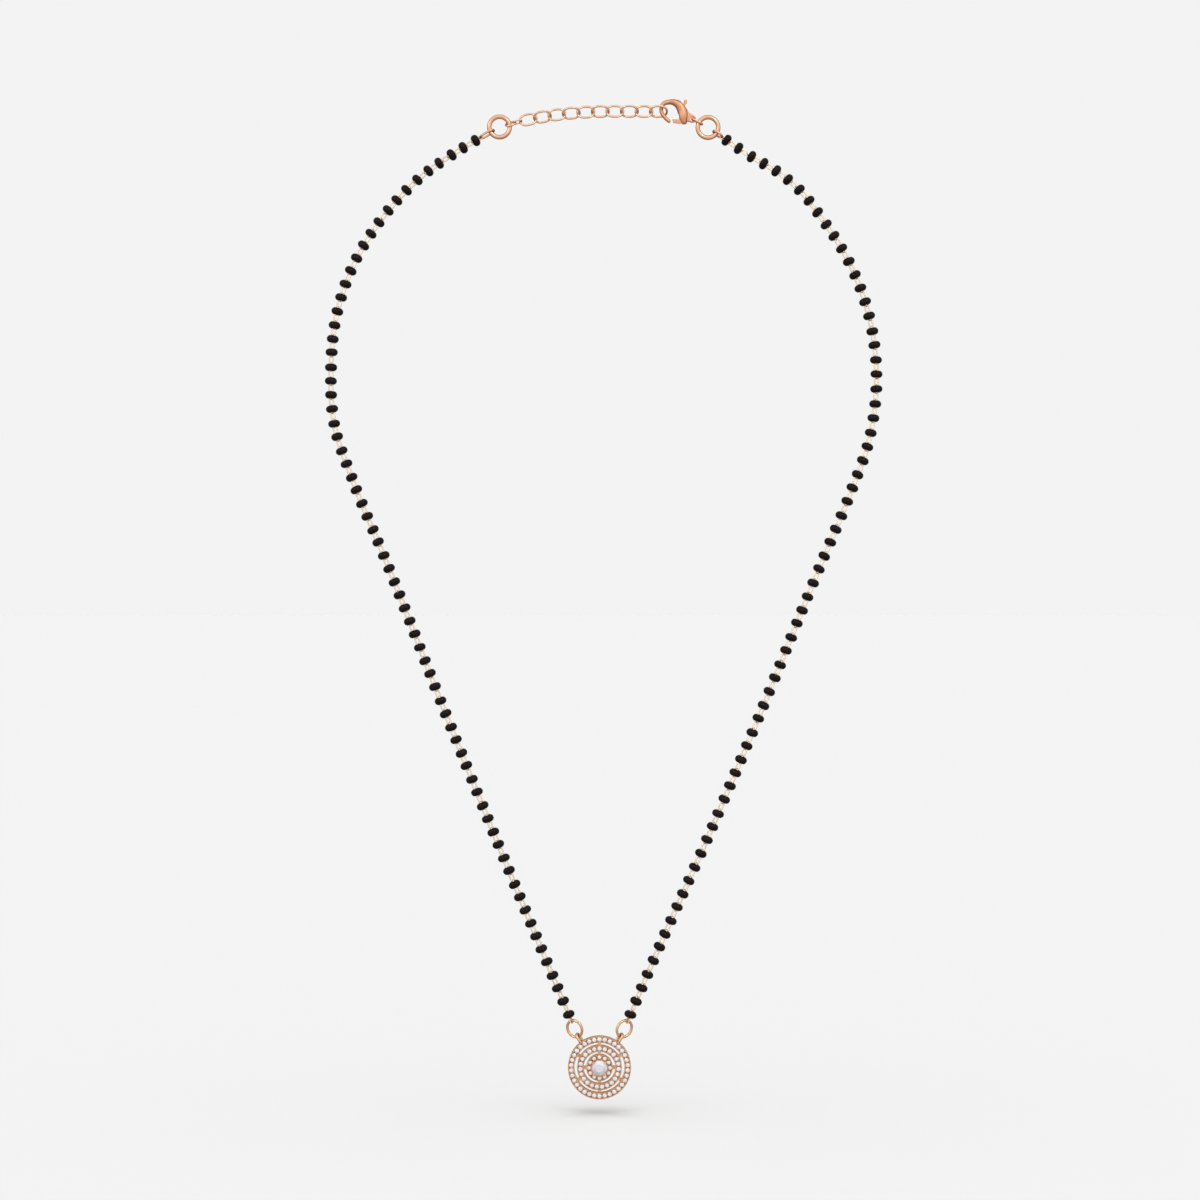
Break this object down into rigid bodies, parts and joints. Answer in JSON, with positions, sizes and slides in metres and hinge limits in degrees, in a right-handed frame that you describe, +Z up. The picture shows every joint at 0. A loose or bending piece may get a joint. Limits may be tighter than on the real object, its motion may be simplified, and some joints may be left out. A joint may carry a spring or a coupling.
{
  "type": "mangalsutra",
  "caption": "Black bead and rose gold chain necklace with a round stone-set pendant of concentric rings, an extender chain and a lobster clasp",
  "frame": {"origin": "the top of the loop, where it lies over the nape: the middle of the extender's chain", "axes": "+Z up, with the pendant below the origin; front, where the stones face, towards -Y; +X to the right seen from the front, the clasp's side"},
  "size_m": [0.1116, 0.0028, 0.2],
  "materials": {
    "rose_gold": "polished rose gold plate, satin on the clasp",
    "fine_chain": "polished pale rose gold plate",
    "black_bead": "glossy opaque black",
    "clear_stone": "clear cut stone"
  },
  "bodies": {
    "necklace": {"bead_string_left": "black_bead", "bead_string_right": "black_bead", "thread_left": "fine_chain", "thread_right": "fine_chain", "ring_link_left": "fine_chain", "ring_link_right": "fine_chain", "big_ring_left": "rose_gold", "big_ring_right": "rose_gold", "end_link_left": "rose_gold", "end_link_right": "rose_gold", "small_ring_left": "rose_gold", "small_ring_right": "rose_gold", "extender_first_link": "rose_gold", "extender_second_link": "rose_gold", "extender_link_1": "rose_gold", "extender_link_2": "rose_gold", "extender_link_3": "rose_gold", "extender_link_4": "rose_gold", "extender_link_5": "rose_gold", "extender_link_6": "rose_gold", "extender_link_7": "rose_gold", "extender_link_8": "rose_gold", "extender_link_9": "rose_gold", "extender_link_10": "rose_gold", "clasp_body": "rose_gold", "clasp_link": "rose_gold"},
    "pendant": {"pendant_frame": "rose_gold", "outer_stones": "clear_stone", "middle_stones": "clear_stone", "halo_stones": "clear_stone", "centre_stone": "clear_stone"},
    "clasp_lever": {"clasp_lever": "rose_gold"}
  },
  "joints": [
    {"name": "pendant_swing", "type": "hinge", "parent": "necklace", "child": "pendant", "pos_m": [0, 0, -0.18506], "axis": [1, 0, 0], "range_deg": [-20, 20]},
    {"name": "clasp_lever_pivot", "type": "hinge", "parent": "necklace", "child": "clasp_lever", "pos_m": [0.01672, 0, -0.00039], "axis": [0, 1, 0], "range_deg": [0, 18], "stiffness_Nm_per_rad": 0.004}
  ]
}
